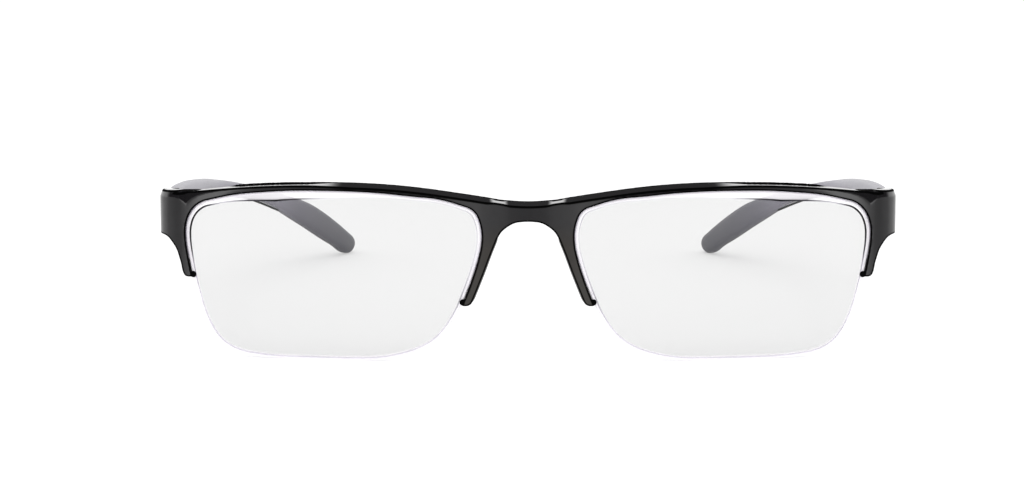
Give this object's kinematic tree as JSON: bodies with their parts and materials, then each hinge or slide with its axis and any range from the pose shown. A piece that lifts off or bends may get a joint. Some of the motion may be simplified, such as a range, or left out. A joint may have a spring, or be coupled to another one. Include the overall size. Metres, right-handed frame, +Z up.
{
  "type": "half rim eyeglasses",
  "caption": "Half rim eyeglasses: a moulded half rim over clear lenses held by a nylon line, with folding side arms and soft ear ends.",
  "frame": {"origin": "middle of the base of the open glasses, where the lens bottoms and the ear ends rest on a table", "axes": "+Z up; +Y from the front back to the ear ends, along the open arms; +X towards the wearer's left"},
  "size_m": [0.1388, 0.1408, 0.0333],
  "materials": {
    "frame_black": "polished black moulded nylon, sharp mirror-like highlights",
    "lens_clear": "clear polished lens with a ground edge bevel",
    "nylon": "clear drawn nylon line",
    "hinge_metal": "satin nickel-plated steel",
    "screw_metal": "turned steel",
    "arm_grey": "grey moulded nylon, satin gloss",
    "core_metal": "drawn flat wire",
    "grip_soft": "soft-touch rubber, fine matt grain"
  },
  "bodies": {
    "front": {"front_frame": "frame_black", "lens_right": "lens_clear", "lens_left": "lens_clear", "upper_liner_right": "nylon", "upper_liner_left": "nylon", "retaining_cord_right": "nylon", "retaining_cord_left": "nylon", "front_hinge_leaf_right": "hinge_metal", "front_hinge_leaf_left": "hinge_metal", "front_leaf_screws_right": "screw_metal", "front_leaf_screws_left": "screw_metal", "hinge_pivot_screw_right": "screw_metal", "hinge_pivot_screw_left": "screw_metal"},
    "temple_right": {"temple_arm_right": "arm_grey", "temple_hinge_leaf_right": "hinge_metal", "temple_leaf_screws_right": "screw_metal", "temple_core_wire_right": "core_metal", "temple_tip_grip_right": "grip_soft"},
    "temple_left": {"temple_arm_left": "arm_grey", "temple_hinge_leaf_left": "hinge_metal", "temple_leaf_screws_left": "screw_metal", "temple_core_wire_left": "core_metal", "temple_tip_grip_left": "grip_soft"}
  },
  "joints": [
    {"name": "temple_right_fold", "type": "hinge", "parent": "front", "child": "temple_right", "pos_m": [-0.0654, -0.04939, 0.0261], "axis": [0, 0, -1], "range_deg": [0, 75]},
    {"name": "temple_left_fold", "type": "hinge", "parent": "front", "child": "temple_left", "pos_m": [0.0654, -0.04939, 0.0261], "axis": [0, 0, 1], "range_deg": [0, 80]}
  ]
}
